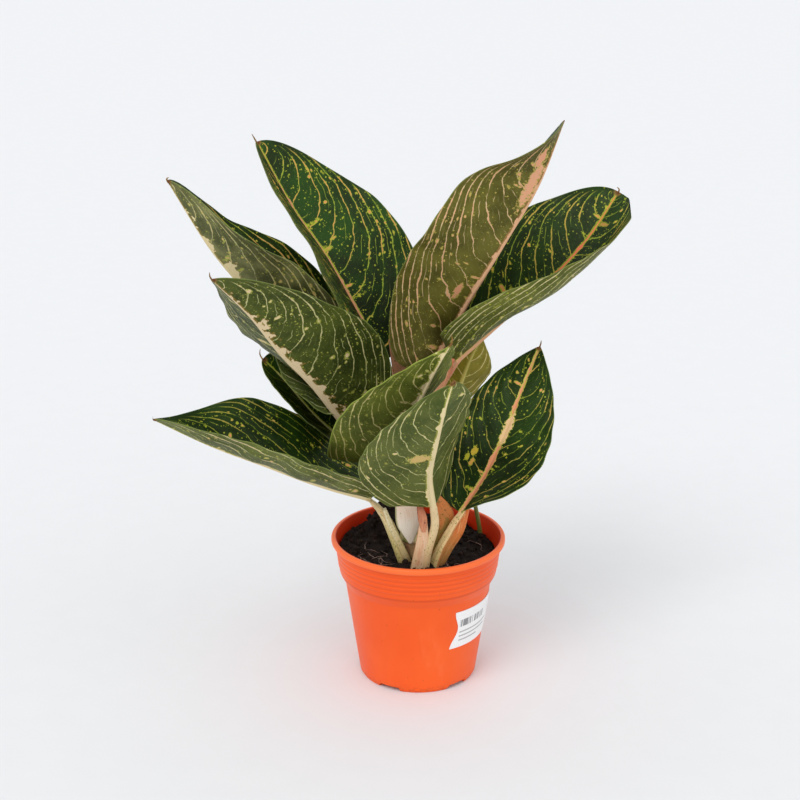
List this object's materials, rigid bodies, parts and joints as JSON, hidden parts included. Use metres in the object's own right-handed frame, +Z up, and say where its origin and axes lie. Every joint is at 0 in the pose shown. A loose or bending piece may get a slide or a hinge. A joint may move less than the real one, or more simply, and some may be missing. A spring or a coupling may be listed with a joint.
{
  "type": "potted chinese evergreen",
  "caption": "Leafy aglaonema house plant with dark, light-veined leaves, growing in a tapered orange plastic nursery pot.",
  "frame": {"origin": "middle of the pot's foot, on the surface it stands on", "axes": "+Z up; -Y is the plant's front, as in the picture; +X is its right"},
  "size_m": [0.3354, 0.1905, 0.4312],
  "materials": {
    "pot": "smooth satin orange plastic, redder inside",
    "label": "plain white paper-like sticker",
    "soil": null,
    "cane": null,
    "petiole": null,
    "husk": null,
    "dry_sheath": null,
    "leaf": null
  },
  "bodies": {
    "root": {"pot": "pot", "label": "label", "main_cane": "cane", "front_cane": "cane", "leaf_01_petiole": "petiole", "leaf_02_petiole": "petiole", "leaf_03_petiole": "petiole", "leaf_04_petiole": "petiole", "leaf_05_petiole": "petiole", "leaf_06_petiole": "petiole", "leaf_07_petiole": "petiole", "leaf_08_petiole": "petiole", "leaf_09_petiole": "petiole", "leaf_10_petiole": "petiole", "leaf_11_petiole": "petiole", "husk": "husk", "dried_sheath": "dry_sheath", "soil": "soil", "leaf_01_blade": "leaf", "leaf_02_blade": "leaf", "leaf_03_blade": "leaf", "leaf_04_blade": "leaf", "leaf_05_blade": "leaf", "leaf_06_blade": "leaf", "leaf_07_blade": "leaf", "leaf_08_blade": "leaf", "leaf_09_blade": "leaf", "leaf_10_blade": "leaf", "leaf_11_blade": "leaf"}
  },
  "joints": []
}
